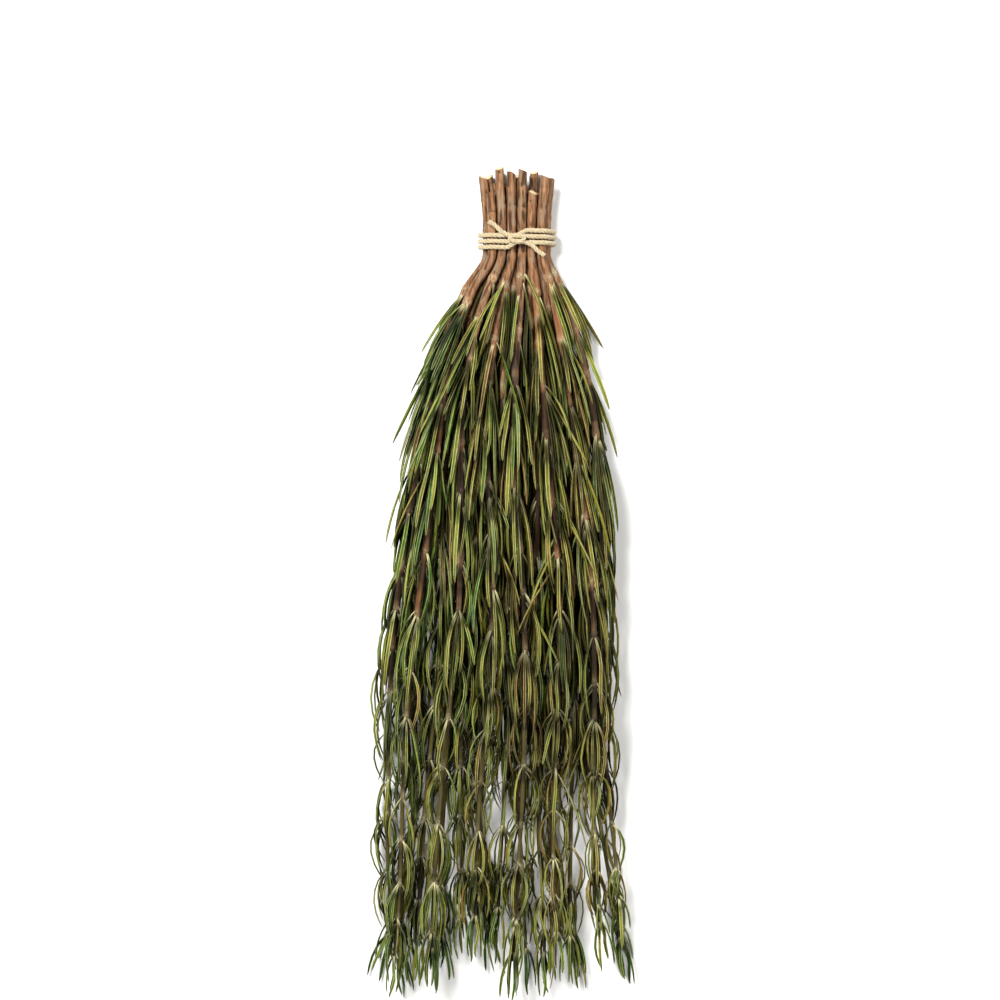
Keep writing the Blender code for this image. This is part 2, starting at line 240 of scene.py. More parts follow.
# How its bark stands out or sinks in, as shares of its radius, and the lengths that this takes along it
CORNERS, CORNER_RISE = 4, 0.04
UNEVEN_RISE = 0.02
FISSURES = 7
FISSURE_DEPTH = 0.10
FISSURE_WIDTH = 0.22
NODE_RISE, NODE_LENGTH = 0.16, 0.0011
WOOL_LENGTH = 0.0010
SCAR_GAPS = (0.006, 0.011)
SCAR_RISE, SCAR_LENGTH = 0.11, 0.0007
GROOVE_DEPTH, GROOVE_LENGTH, GROOVE_AFTER = 0.07, 0.0004, 0.0012

# The fine twine: its plies are tubes twisted round its centre line, in shares of the twine's radius
TWINE_STEP = 0.00025
TWINE_SMOOTHING = 0.0016
PLIES = 3
PLY_SIDES = 9
PLY_PITCH = 0.0042
PLY_OFFSET = 0.50
PLY_RADIUS = 0.50
YARNS, YARN_RISE, YARN_TWIST = 4, 0.06, 5200

# The picture: what it takes in at the height of the bundle, and the lights
FIELD = 0.330
LENS = 120.0
SENSOR = 36.0
CLIP = (0.05, 20.0)
AIM = Vector((-0.0056, -0.0865, 0.015))
KEY_PLACE, KEY_SIZE, KEY_POWER = (-0.40, 0.35, 0.95), 0.35, 22
FILL_PLACE, FILL_SIZE, FILL_POWER = (0.60, -0.30, 0.90), 0.5, 9
SURROUNDINGS, SURROUNDINGS_STRENGTH = (1.0, 0.99, 0.97, 1.0), 0.10
FLOOR_REACH = 3.0


def by_station(values, reach):
    """What a table of stations gives at this reach along the leafy stem."""
    return float(np.interp(reach, STATIONS, values))


def smooth(x):
    """Rises from 0 to 1, with no slope at either end."""
    x = min(max(x, 0.0), 1.0)
    return x * x * (3 - 2 * x)


def past_tie(y):
    """How far from the tie to the tips this y lies, as a share."""
    return max(-y - HELD_STRAIGHT, 0) / (LEAFY_LENGTH - HELD_STRAIGHT)


def fanned(reach):
    """How far the stems have fanned out at this reach, as a share: fast at first, then evenly."""
    return FAN_SHARE * (1 - math.exp(-reach / FAN_LENGTH)) + (1 - FAN_SHARE) * reach


def lean(reach):
    """How far the whole bundle leans to one side at this reach."""
    return LEAN * (1 - math.exp(-reach / LEAN_LENGTH))


class Sprig:
    """One leafy stem: where it runs, and the leaves that grow on it."""

    def __init__(self, row, place, number):
        draw = random.Random(SEED * 1000 + number)
        self.number = number
        self.row = row
        self.tie_x = (place - (ROWS[row] - 1) / 2) * STEM_PITCH
        self.tie_z = LOWEST_STEM_HEIGHT + row * STEM_PITCH * math.sqrt(3) / 2
        self.share = self.tie_x / ((max(ROWS) - 1) / 2 * STEM_PITCH)
        self.cut_y = CUT_LENGTH - draw.uniform(0, CUT_STAGGER)
        self.tip_y = -LEAFY_LENGTH + draw.uniform(0, TIP_STAGGER)
        self.phases = [draw.uniform(0, 2 * math.pi) for _ in range(2)]
        self.hook = draw.uniform(-HOOK, HOOK)
        self.lift = draw.uniform(-LIFT, LIFT)
        self.turn = draw.uniform(0, 360)
        self.nodes = self.placed_nodes(draw)
        self.needles = []

    @property
    def name(self):
        return f"sprig_{self.number + 1:02d}"

    def drawn(self, y):
        """Where the stem would cross this y if it had no neighbours, as x and z."""
        reach = past_tie(y)
        beyond, spread = max(y - HELD_STRAIGHT, 0), fanned(reach)
        wave = STEM_WAVE * smooth(reach / WAVE_STARTS_BY)
        x = self.tie_x * (1 + CUT_SPLAY * beyond) + spread * (self.share * HALF_WIDTH_OF_STEMS - self.tie_x)
        x += wave * math.sin(WAVES_ACROSS * reach + self.phases[0]) + lean(reach)
        x += self.hook * smooth((reach - HOOK_FROM) / (1 - HOOK_FROM)) ** 2
        height, tips = ROW_HEIGHTS[self.row], ROW_HEIGHTS_AT_TIPS[self.row]
        height += (tips - height) * smooth((reach - SINKS_FROM) / (1 - SINKS_FROM))
        height -= DOME_DROP * (height - ROW_HEIGHTS_AT_TIPS[0]) * self.share**2
        z = self.tie_z + (height + self.lift - self.tie_z) * smooth(reach / RISEN_AT)
        z += 0.5 * wave * math.sin(WAVES_UP * reach + self.phases[1])
        return x, max(z, FLOOR_CLEAR + STEM_RADIUS)

    def centre(self, y):
        """The centre of the solid's stem where it crosses this y: straight runs between its bends."""
        return Vector((np.interp(y, STEM_YS, self.xs), y, np.interp(y, STEM_YS, self.zs)))

    def course(self, y):
        """The centre of the fine stem at each y: a smooth line through the same bends."""
        x, z = (smooth_through(y, STEM_YS, values) for values in (self.xs, self.zs))
        return np.stack([x, y, z], axis=-1)

    def radius(self, reach):
        return STEM_RADIUS + (STEM_TIP_RADIUS - STEM_RADIUS) * max(reach, 0.0) ** STEM_TAPER

    def line(self):
        """The points that the stem's straight runs join, from cut end to tip, and the radius at each."""
        bends = [y for y in STEM_YS[::-1] if self.tip_y + LEAST_RUN < y < self.cut_y]
        ys = [self.cut_y, *bends, self.tip_y]
        return [self.centre(y) for y in ys], [self.radius(y / self.tip_y) for y in ys]

    def frame(self, reach):
        """The centre at this reach, the way to the tip, and two directions square to it."""
        y = reach * self.tip_y
        along = (self.centre(y - LOOK_AHEAD) - self.centre(y + LOOK_AHEAD)).normalized()
        across = along.cross(Vector((0, 0, 1))).normalized()
        return self.centre(y), along, across, across.cross(along)

    def dryness(self, reach):
        """The reach whose curl its needles have at this reach: sprigs on the -X side dried sooner."""
        return reach + 2 * CURLS_EARLIER * (1 - self.share) * reach * (1 - reach)

    def placed_nodes(self, draw):
        """The reach of each leaf node, from the tie to the tip."""
        found, reach = [], draw.uniform(*FIRST_NODES)
        while reach < LAST_NODE - NODES_END_BEFORE:
            found.append(reach)
            reach += by_station(NODE_GAPS, reach) * draw.uniform(*NODE_GAP_VARIES) / -self.tip_y
        return found


def stem_ys():
    """Where the stems bend, from tips to cut ends: closer together towards the tie, where they fan out."""
    shares = np.linspace(1, 0, STEM_RUNS + 1) ** BEND_CROWDING
    leafy = -HELD_STRAIGHT - (LEAFY_LENGTH - HELD_STRAIGHT) * shares
    return np.concatenate([leafy, [HELD_STRAIGHT, CUT_LENGTH]])


STEM_YS = stem_ys()


def smooth_through(at, knots, values):
    """A cubic through these values, straight between the two knots at the tie."""
    slopes = np.gradient(values, knots)
    slopes[np.abs(np.abs(knots) - HELD_STRAIGHT) < 1e-9] = 0
    i = np.clip(np.searchsorted(knots, at) - 1, 0, len(knots) - 2)
    step = knots[i + 1] - knots[i]
    t = np.clip((at - knots[i]) / step, 0, 1)
    from_left = (1 + 2 * t) * (1 - t) ** 2 * values[i] + t * (1 - t) ** 2 * step * slopes[i]
    from_right = t * t * (3 - 2 * t) * values[i + 1] - t * t * (1 - t) * step * slopes[i + 1]
    return from_left + from_right


def bundle():
    """Every sprig of the bundle, the lowest row first, settled and without needles."""
    places = [(row, place) for row, count in enumerate(ROWS) for place in range(count)]
    sprigs = [Sprig(row, place, number) for number, (row, place) in enumerate(places)]
    settle(sprigs)
    return sprigs


def settle(sprigs):
    """Pushes the stems apart, slice by slice, and evens out their courses. The tie holds them where it is."""
    ys = np.union1d(np.linspace(-LEAFY_LENGTH, CUT_LENGTH, SLICES), (-HELD_STRAIGHT, HELD_STRAIGHT))
    drawn = np.array([[sprig.drawn(y) for sprig in sprigs] for y in ys])
    reaches = np.clip(-ys / LEAFY_LENGTH, 0, 1)
    held = ys > -2 * HELD_STRAIGHT
    room = ROOM_AT_TIE + (ROOM_AMONG_LEAVES - ROOM_AT_TIE) * np.minimum(reaches * ROOM_GROWS, 1)
    settled = drawn.copy()
    for _ in range(SETTLING_ROUNDS):
        apart = settled[:, :, None] - settled[:, None]
        gaps = np.linalg.norm(apart, axis=3) + 1e-9
        push = np.clip(room[:, None, None] - gaps, 0, None) / gaps * PUSH
        settled += (push[..., None] * apart).sum(axis=2)
        settled[1:-1] += EVENING * (settled[:-2] + settled[2:] - 2 * settled[1:-1])
        settled[..., 1] = np.maximum(settled[..., 1], FLOOR_CLEAR + STEM_RADIUS)
        settled[held] = drawn[held]
    for i, sprig in enumerate(sprigs):
        sprig.xs, sprig.zs = (np.interp(STEM_YS, ys, settled[:, i, k]) for k in (0, 1))


class Needle:
    """One needle leaf: a quadratic curve. It leaves its stem at one angle and ends at another, in degrees."""

    def __init__(self, sprig, reach, turn, length, leaving, ending, width):
        centre, along, across, up = sprig.frame(reach)
        angle, leave, end = math.radians(turn), math.radians(leaving), math.radians(ending)
        self.outward = across * math.cos(angle) + up * math.sin(angle)
        self.root = centre + self.outward * (ROOT_FROM_CENTRE * sprig.radius(reach))
        first = (along * math.cos(leave) + self.outward * math.sin(leave)) * length
        second = (along * math.cos(end) + self.outward * math.sin(end)) * length
        self.bend = self.root + first * BEND_SHARE
        self.tip = self.bend + second * (1 - BEND_SHARE)
        self.width = width
        self.reach = reach
        self.curled = leaving - ending > CURLED_FROM

    def at(self, t):
        """The point this far along the needle, kept off the surface that the bundle lies on."""
        point = self.root * (1 - t) ** 2 + self.bend * (2 * t * (1 - t)) + self.tip * t**2
        point.z = max(point.z, FLOOR_CLEAR)
        return point

    def points(self):
        """The points that its straight runs join: a curled needle has one more."""
        return [self.at(t) for t in (CURLED_RUN_ENDS if self.curled else RUN_ENDS)]


def clear(start, end, runs, room):
    """Whether a straight run has this much room to others, given as rows of start, end, radius and owner."""
    first, others, between = end - start, runs[:, 3:6] - runs[:, 0:3], start - runs[:, 0:3]
    a, e = first @ first, np.einsum("ij,ij->i", others, others)
    b, c, f = others @ first, between @ first, np.einsum("ij,ij->i", others, between)
    s = np.clip((b * f - c * e) / np.maximum(a * e - b * b, 1e-18), 0, 1)
    t = np.clip((b * s + f) / e, 0, 1)
    s = np.clip((b * t - c) / a, 0, 1)
    gaps = np.linalg.norm(between + s[:, None] * first - t[:, None] * others, axis=1) - runs[:, 6]
    return bool(np.all(gaps >= room))


class Thicket:
    """What has grown so far, for a new needle to keep clear of: straight runs with a radius and an owner."""

    def __init__(self):
        self.runs = np.empty((0, 8))

    def add(self, points, radii, owner):
        rows = [(*start, *end, radius, owner) for start, end, radius in zip(points, points[1:], radii)]
        self.runs = np.vstack([self.runs, rows])

    def near(self, points):
        """The runs that share some stretch of Y with this line."""
        low, high = min(p.y for p in points) - NEARBY, max(p.y for p in points) + NEARBY
        starts, ends = self.runs[:, 1], self.runs[:, 4]
        return self.runs[(np.minimum(starts, ends) < high) & (np.maximum(starts, ends) > low)]

    def has_room(self, points, radius, owner, gap=GAP, past=CROWDED_BASE):
        """Whether this line is clear of other sprigs, and of its own past this share of its first run."""
        runs = self.near(points)
        own = runs[:, 7] == owner
        for i, (start, end) in enumerate(zip(points, points[1:])):
            start, end = np.array(start), np.array(end)
            past_root = start + (end - start) * (past if i == 0 else 0.0)
            if not clear(start, end, runs[~own], radius + gap):
                return False
            if not clear(past_root, end, runs[own], radius - gap / 2):
                return False
        return True


def grow_needle(thicket, sprig, reach, turn, draw):
    """Grows one needle, turned, eased inwards and shortened until it has room, or leaves it out."""
    length = by_station(NEEDLE_LENGTHS, reach) * draw.uniform(*NEEDLE_LENGTH_VARIES)
    leaving = by_station(LEAVING_ANGLES, sprig.dryness(reach)) * draw.uniform(*LEAVING_VARIES)
    ending = by_station(ENDING_ANGLES, sprig.dryness(reach)) + draw.uniform(*ENDING_VARIES)
    width = by_station(NEEDLE_WIDTHS, reach) * draw.uniform(*NEEDLE_WIDTH_VARIES)
    for attempt in range(TRIES):
        ease = attempt / TRIES
        needle = Needle(
            sprig,
            reach + draw.uniform(-EASED_REACH, EASED_REACH) * ease,
            turn + draw.uniform(-EASED_TURN, EASED_TURN) * ease,
            length * (1 - EASED_LENGTH * ease),
            leaving * draw.uniform(*(1 + part * ease for part in EASED_LEAVING)),
            ending * (1 - ease) + draw.uniform(*EASED_ENDING) * ease,
            width,
        )
        points = needle.points()
        if thicket.has_room(points, NEEDLE_ROOM * width, sprig.number):
            sprig.needles.append(needle)
            points[0] = points[0].lerp(points[1], PAST_ROOT)
            thicket.add(points, [NEEDLE_ROOM * width] * (len(points) - 1), sprig.number)
            return


def grow(sprigs):
    """Grows the needles of all sprigs together, node by node in crossed pairs, then a tuft on each tip."""
    thicket = Thicket()
    for sprig in sprigs:
        thicket.add(*sprig.line(), sprig.number)
    draws = [random.Random(SEED * 2000 + sprig.number) for sprig in sprigs]
    nodes = [sprig.nodes for sprig in sprigs]
    for step in range(max(map(len, nodes))):
        for sprig, draw, reaches in zip(sprigs, draws, nodes):
            for half in (0, 180) if step < len(reaches) else ():
                turn = sprig.turn + 90 * step + half + draw.uniform(-PAIR_SWINGS, PAIR_SWINGS)
                grow_needle(thicket, sprig, reaches[step], turn, draw)
    for sprig, draw in zip(sprigs, draws):
        for k in range(TUFT_NEEDLES):
            turn = sprig.turn + 45 + 360 * k / TUFT_NEEDLES
            grow_needle(thicket, sprig, LAST_NODE, turn, draw)
    return thicket


def in_outline(point):
    """Whether a leaf's tip lies in the box of the solids, and not far outside the fan of stems."""
    reach = past_tie(point.y)
    at_tie = (max(ROWS) - 1) / 2 * STEM_PITCH
    half = at_tie + fanned(reach) * (HALF_WIDTH_OF_STEMS - at_tie) + PAST_STEMS
    in_box = cad_low[0] < point.x < cad_high[0] and cad_low[1] < point.y and point.z < cad_high[2]
    return in_box and abs(point.x - lean(reach)) < half


def place_leaf(thicket, sprig, draw, shape):
    """Tries a few leaves of this shape until one has room."""
    for _ in range(LEAF_TRIES):
        reach, turn, length, leaving, ending, width = shape()
        leaf = Needle(sprig, reach, turn, length, leaving, ending, width)
        points, room = leaf.points(), LEAF_ROOM * width
        if not in_outline(leaf.tip):
            continue
        if thicket.has_room(points, room, sprig.number, gap=0.0, past=ROOM_PAST_ROOT):
            sprig.needles.append(leaf)
            points[0] = points[0].lerp(points[1], PAST_ROOT)
            thicket.add(points, [room] * (len(points) - 1), sprig.number)
            return


def grow_shoot(thicket, sprig, reach, draw):
    """The smaller leaves of the short shoots at one node. Some are strays, and some nodes show their stem."""
    bare_front = draw.random() < by_station(BARE_FRONTS, reach)

    def shape():
        stray = draw.random() < by_station(STRAY_CHANCES, reach)
        curl = draw.uniform(by_station(LEAST_CURLS, reach), by_station(MOST_CURLS, reach))
        leaving = by_station(LEAVING_ANGLES, sprig.dryness(reach)) * curl
        ending = by_station(ENDING_ANGLES, sprig.dryness(reach)) * curl
        ending += draw.uniform(by_station(INWARD, reach), OUTWARD)
        if stray:
            leaving, ending = draw.uniform(*STRAY_LEAVING), draw.uniform(*STRAY_ENDING)
        return (
            reach + draw.uniform(-0.5, 1) * by_station(SHOOT_SPREADS, reach),
            draw.uniform(*BARE_FRONT_TURNS) if bare_front else draw.uniform(0, 360),
            by_station(NEEDLE_LENGTHS, reach) * draw.uniform(*SHOOT_LENGTH_VARIES),
            leaving,
            ending,
            by_station(NEEDLE_WIDTHS, reach) * draw.uniform(*SHOOT_WIDTH_VARIES),
        )

    for _ in range(round(by_station(SHOOT_LEAVES, reach) * draw.uniform(*SHOOT_LEAVES_VARY))):
        place_leaf(thicket, sprig, draw, shape)


def grow_tuft(thicket, sprig, draw):
    """The young leaves crowded on a tip."""

    def shape():
        return (
            LAST_NODE - draw.uniform(0, TUFT_DEPTH),
            draw.uniform(0, 360),
            NEEDLE_LENGTHS[-1] * draw.uniform(*TUFT_LENGTH_VARIES),
            draw.uniform(*TUFT_LEAVING),
            draw.uniform(*TUFT_ENDING),
            NEEDLE_WIDTHS[-1] * draw.uniform(*TUFT_WIDTH_VARIES),
        )

    for _ in range(TUFT_LEAVES):
        place_leaf(thicket, sprig, draw, shape)


def grow_smaller_leaves(thicket, sprigs):
    """Adds the leaves that only the scene has, node by node on all sprigs."""
    draws = [random.Random(SEED * 3000 + sprig.number) for sprig in sprigs]
    nodes = [sprig.nodes for sprig in sprigs]
    for step in range(max(map(len, nodes))):
        for sprig, draw, reaches in zip(sprigs, draws, nodes):
            if step < len(reaches):
                grow_shoot(thicket, sprig, reaches[step], draw)
    for sprig, draw in zip(sprigs, draws):
        grow_tuft(thicket, sprig, draw)


class Depths:
    """How deep inside the bundle a place lies, from how full of leaves and stems the room around it is. The
    finishes paint shade by it.
    """

    def __init__(self, thicket):
        starts, ends = thicket.runs[:, None, 0:3], thicket.runs[:, None, 3:6]
        shares = (np.arange(FILL_SAMPLES) + 0.5)[None, :, None] / FILL_SAMPLES
        points = (starts + (ends - starts) * shares).reshape(-1, 3)
        volumes = np.linalg.norm(ends - starts, axis=2)[:, 0] * thicket.runs[:, 6]
        self.low = points.min(axis=0) - FILL_MARGIN
        shape = self.cells(points.max(axis=0) + FILL_MARGIN) + 1
        self.full = np.zeros(shape)
        np.add.at(self.full, tuple(self.cells(points).T), np.repeat(volumes, FILL_SAMPLES))
        kernel = np.hanning(2 * FILL_BLUR + 3)[1:-1]
        for axis in range(3):
            self.full = np.apply_along_axis(np.convolve, axis, self.full, kernel / kernel.sum(), "same")
        self.full /= np.percentile(self.full[self.full > FILL_LEAST * self.full.max()], FULL_PERCENTILE)

    def cells(self, points):
        return ((points - self.low) / FILL_CELL).astype(int)

    def at(self, points):
        """From 0 outside to about 1 in the middle, for an array of points."""
        cells = np.clip(self.cells(points), 0, np.array(self.full.shape) - 1)
        return self.full[tuple(np.moveaxis(cells, -1, 0))]


def new_piece(name, vertices, faces, attributes, finish):
    """A smooth-shaded mesh object with a value for each point of each attribute."""
    mesh = bpy.data.meshes.new(name)
    mesh.from_pydata(vertices, [], faces)
    mesh.shade_smooth()
    for key, values in attributes.items():
        mesh.attributes.new(key, "FLOAT", "POINT").data.foreach_set("value", values.astype(np.float32))
    mesh.materials.append(finish)
    piece = bpy.data.objects.new(name, mesh)
    bpy.context.scene.collection.objects.link(piece)
    return piece


def ring_faces(rings, sides, start=0):
    """The quads between rings of points that follow each other."""
    near = start + np.arange(rings - 1)[:, None] * sides + np.arange(sides)
    turned = start + np.arange(rings - 1)[:, None] * sides + (np.arange(sides) + 1) % sides
    return np.stack([near, turned, turned + sides, near + sides], axis=-1).reshape(-1, 4)


def unit(vectors):
    return vectors / np.linalg.norm(vectors, axis=-1, keepdims=True)


def leaf_points(sprig, leaves, draw):
    """The points of all leaves as leaf, ring, place in the section and xyz, and those of their tips."""
    keys = ("root", "bend", "tip", "outward")
    root, bend, tip, outward = (np.array([getattr(leaf, key) for leaf in leaves])[:, None] for key in keys)
    shift = sprig.course(root[..., 1]) - np.array([sprig.centre(y) for y in root[:, 0, 1]])[:, None]
    root, bend, tip = root + shift, bend + shift, tip + shift
    t = np.array((*RINGS, 1.0))[None, :, None]
    middle = root * (1 - t) ** 2 + bend * (2 * t * (1 - t)) + tip * t**2
    ahead = unit((bend - root) * (1 - t) + (tip - bend) * t)
    side = unit(np.cross(ahead, outward))
    out = np.cross(side, ahead)
    reach = np.array([leaf.reach for leaf in leaves])[:, None, None]
    width = FINE_WIDTH * np.array([leaf.width for leaf in leaves])[:, None, None]
    count = (len(leaves), 1, 1)
    sway = draw.uniform(-1, 1, count) * np.sin(draw.uniform(3, 9, count) * t + draw.uniform(0, 6, count))
    middle = middle + side * sway * t * (SWAY + SWAY_GROWS * reach)
    middle[..., 2] = np.maximum(middle[..., 2], FLOOR_CLEAR)
    twist = draw.uniform(-TWIST_AT_ROOT, TWIST_AT_ROOT, count)
    twist = twist + draw.uniform(-TWIST_ALONG, TWIST_ALONG, count) * t * (TWIST_LEAST + reach)
    turned = side * np.cos(twist) + out * np.sin(twist)
    out = out * np.cos(twist) - side * np.sin(twist)
    section = np.array(SECTION)[None, None]
    girth = (width * np.array((*RING_WIDTHS, 0.0))[None, :, None])[..., None]
    offsets = turned[:, :, None] * section[..., 0:1] + out[:, :, None] * section[..., 1:2] * LEAF_THICKNESS
    points = middle[:, :, None] + offsets * girth
    points[..., 2] = np.maximum(points[..., 2], FINE_FLOOR)
    return points[:, :-1], points[:, -1, 0]


def build_leaves(sprig, depths, finish):
    """All leaves of a sprig as one mesh."""
    draw = np.random.default_rng(SEED * 4000 + sprig.number)
    leaves = sprig.needles
    points, tips = leaf_points(sprig, leaves, draw)
    count, rings, sides = points.shape[:3]
    each = rings * sides
    faces = []
    for i in range(count):
        start = i * each
        last = start + each - sides
        apex = count * each + i
        faces.extend(ring_faces(rings, sides, start).tolist())
        faces.append([start + k for k in range(sides)][::-1])
        faces.extend([last + k, last + (k + 1) % sides, apex] for k in range(sides))
    shape = (count, rings, sides)
    along = np.broadcast_to(np.array(RINGS)[None, :, None], shape)
    crest = np.broadcast_to(np.array(SECTION)[None, None, :, 2], shape)
    reach = np.array([leaf.reach for leaf in leaves])
    wests = [smooth(-leaf.root.x / HALF_WIDTH_OF_STEMS * WEST_SLOPE + WEST_FROM) for leaf in leaves]
    tone = draw.normal(0, GREEN_VARIES, count) + draw.normal(0, GREEN_OF_SPRIG_VARIES)
    tone[draw.random(count) < DEAD_SHARE] -= DEAD_LOSES
    green = GREEN + GREENER_WEST * np.array(wests) + tone
    # How deep each ring lies in the bundle, by which the finish paints shade on it
    depth = np.broadcast_to(depths.at(points.mean(axis=2))[..., None], shape)
    pale = (draw.random(count) < PALE_SHARE).astype(float)
    light = draw.normal(0, 1, count)
    values = {
        "depth": np.concatenate([depth.ravel(), depths.at(tips)]),
        "along": np.concatenate([along.ravel(), np.ones(count)]),
        "crest": np.concatenate([crest.ravel(), np.zeros(count)]),
    }
    for key, of_leaf in (("pale", pale), ("green", green), ("reach", reach), ("light", light)):
        values[key] = np.append(np.repeat(of_leaf, each), of_leaf)
    vertices = np.concatenate([points.reshape(-1, 3), tips])
    return new_piece(f"{sprig.name}_leaves", vertices, faces, values, finish)


def bell(x, width):
    """A bump of height 1 round 0, as wide as this each way."""
    return np.exp(-((x / width) ** 2))


def stem_relief(sprig, ys, angles, draw):
    """How the bark of the fine stem stands out or sinks in at each y and angle, as a share of the radius."""
    y, angle = ys[:, None], angles[None]
    relief = CORNER_RISE * np.cos(CORNERS * angle + draw.uniform(0, 6))
    for waves in (2, 3, 5):
        drift = draw.uniform(0, 6) + y * draw.uniform(150, 900)
        relief = relief + UNEVEN_RISE * np.sin(waves * angle + drift) * np.sin(y * draw.uniform(300, 1500))
    for _ in range(FISSURES):
        course = draw.uniform(0, 2 * math.pi) + 0.5 * np.sin(y * draw.uniform(120, 400) + draw.uniform(0, 6))
        away = np.abs((angle - course + math.pi) % (2 * math.pi) - math.pi)
        opened = np.clip(np.sin(y * draw.uniform(200, 600) + draw.uniform(0, 6)) + 0.35, 0, 1)
        relief = relief - FISSURE_DEPTH * opened * bell(away, FISSURE_WIDTH)
    for node in sprig.nodes:
        relief = relief + NODE_RISE * bell(y - node * sprig.tip_y, NODE_LENGTH)
    scar = sprig.nodes[0] * sprig.tip_y + draw.uniform(*SCAR_GAPS)
    while scar < sprig.cut_y:
        around = 0.6 + 0.4 * np.cos(2 * (angle - draw.uniform(0, 6)))
        relief = relief + SCAR_RISE * around * bell(y - scar, SCAR_LENGTH)
        relief = relief - GROOVE_DEPTH * around * bell(y - scar - GROOVE_AFTER, GROOVE_LENGTH)
        scar += draw.uniform(*SCAR_GAPS)
    return relief


def build_stem(sprig, depths, finish):
    """The stem of a sprig, from its slanted cut to its tip."""
    draw = np.random.default_rng(SEED * 5000 + sprig.number)
    bare = np.arange(sprig.cut_y, BARE_TO, -BARE_RING_STEP)
    leafy = np.linspace(BARE_TO, sprig.tip_y, int((BARE_TO - sprig.tip_y) / STEM_RING_STEP))
    ys = np.concatenate([bare, leafy])
    count = len(ys)
    angles = np.linspace(0, 2 * math.pi, STEM_SIDES, endpoint=False)
    centre = sprig.course(ys)
    ahead = unit(np.gradient(centre, axis=0))
    across = unit(np.cross(ahead, (0, 0, 1)))
    up = np.cross(across, ahead)
    plain = STEM_RADIUS + (STEM_TIP_RADIUS - STEM_RADIUS) * np.clip(ys / sprig.tip_y, 0, 1) ** STEM_TAPER
    relief = stem_relief(sprig, ys, angles, draw)
    radius = (plain[:, None] * (1 + relief))[..., None]
    circle = across[:, None] * np.cos(angles)[None, :, None] + up[:, None] * np.sin(angles)[None, :, None]
    points = centre[:, None] + circle * radius
    slant = draw.uniform(-CUT_SLANT, CUT_SLANT, 2)
    leaning = np.clip(1 - np.arange(count) / CUT_RINGS, 0, 1)[:, None]
    points[..., 1] -= leaning * (circle[..., 0] * slant[0] + circle[..., 2] * slant[1]) * radius[..., 0]
    points[..., 2] = np.maximum(points[..., 2], FINE_FLOOR)
    middle = points[0].mean(axis=0)
    face = [middle + (points[0] - middle) * share for share in (CUT_RIM, CUT_PITH)]
    body = points.reshape(-1, 3)
    vertices = np.concatenate([body, *face, [middle + Vector((0, PITH_RISE, 0))]])
    faces = ring_faces(count, STEM_SIDES).tolist()
    first, second, hub = len(body), len(body) + STEM_SIDES, len(body) + 2 * STEM_SIDES
    for k in range(STEM_SIDES):
        after = (k + 1) % STEM_SIDES
        faces.append([after, k, first + k, first + after])
        faces.append([first + after, first + k, second + k, second + after])
        faces.append([second + after, second + k, hub])
    faces.append([len(body) - STEM_SIDES + k for k in range(STEM_SIDES)])
    reach = np.clip(ys / sprig.tip_y, 0, 1)
    node = np.zeros(count)
    for at in sprig.nodes:
        node += bell(ys - at * sprig.tip_y, WOOL_LENGTH)
    caps = np.zeros(2 * STEM_SIDES + 1)

    def on_rings(of_ring):
        """What each ring has, given to all its points, and 0 on the cut face."""
        return np.concatenate([np.repeat(of_ring, STEM_SIDES), caps])

    values = {
        # For painted shade deep in the bundle, fading to none towards the tie, where the outer stems show
        "depth": on_rings(depths.at(centre) * np.clip(reach / LOOSE_FROM, 0, 1)),
        "reach": on_rings(reach),
        "node": on_rings(node),
        "cut": np.concatenate([np.zeros(len(body)), np.full(STEM_SIDES, 0.6), np.ones(STEM_SIDES + 1)]),
        "tone": np.full(len(vertices), draw.normal(0, 1)),
        "relief": np.concatenate([relief.ravel(), caps]),
    }
    return new_piece(f"{sprig.name}_stem", vertices, faces, values, finish)


def loop_round_stems():
    """One turn of the twine, tight round the outer stems, as x and z, from the left end of its top run."""
    reach = STEM_RADIUS + TWINE_GAP + TWINE_RADIUS
    half_row, half_middle = (min(ROWS) - 1) / 2 * STEM_PITCH, (max(ROWS) - 1) / 2 * STEM_PITCH
    heights = [LOWEST_STEM_HEIGHT + row * STEM_PITCH * math.sqrt(3) / 2 for row in range(len(ROWS))]
    corners = (
        (-half_row, heights[2]),
        (-half_middle, heights[1]),
        (-half_row, heights[0]),
        (half_row, heights[0]),
        (half_middle, heights[1]),
        (half_row, heights[2]),
    )
    points = []
    for k, (x, z) in enumerate(corners):
        for share in (0, 0.5, 1):
            angle = math.radians(90 + 60 * (k + share))
            points.append((x + reach * math.cos(angle), z + reach * math.sin(angle)))
    return points


def twine_turns():
    """The twine's centre line: turns side by side, from left of the knot to right of it."""
    loop = loop_round_stems()
    top = loop[0][1]
    flat = [(-KNOT_START, top)] + loop * TWINE_TURNS + [(KNOT_START, top)]
    steps = [math.dist(a, b) for a, b in zip(flat, flat[1:])]
    gone = np.concatenate([[0], np.cumsum(steps)]) / sum(steps)
    width = TWINE_TURNS * TWINE_PITCH
    return [Vector((x, (share - 0.5) * width, z)) for (x, z), share in zip(flat, gone)]


def twine_end(start, side):
    """The route of one end of the twine, which hooks round the other on top and is trimmed."""
    hook = (
        (0.2, 0.0, 0.0),
        (-1.4, -0.9, 0.5),
        (-2.6, -1.7, 1.5),
        (-4.6, -1.9, 1.8),
        (-5.6, -2.9, 2.1),
        (-4.4, -3.8, 2.2),
        (-2.4, -3.7, 1.7),
        (-0.2, -4.0, 1.0),
        (2.2, -5.2, 0.7),
        (4.2, -7.2, 0.5),
        (6.4, -8.6, 0.7),
    )
    return [
        Vector((side * (start.x - x * MM), side * (start.y - y * MM), start.z + z * MM))
        for x, y, z in hook
    ]


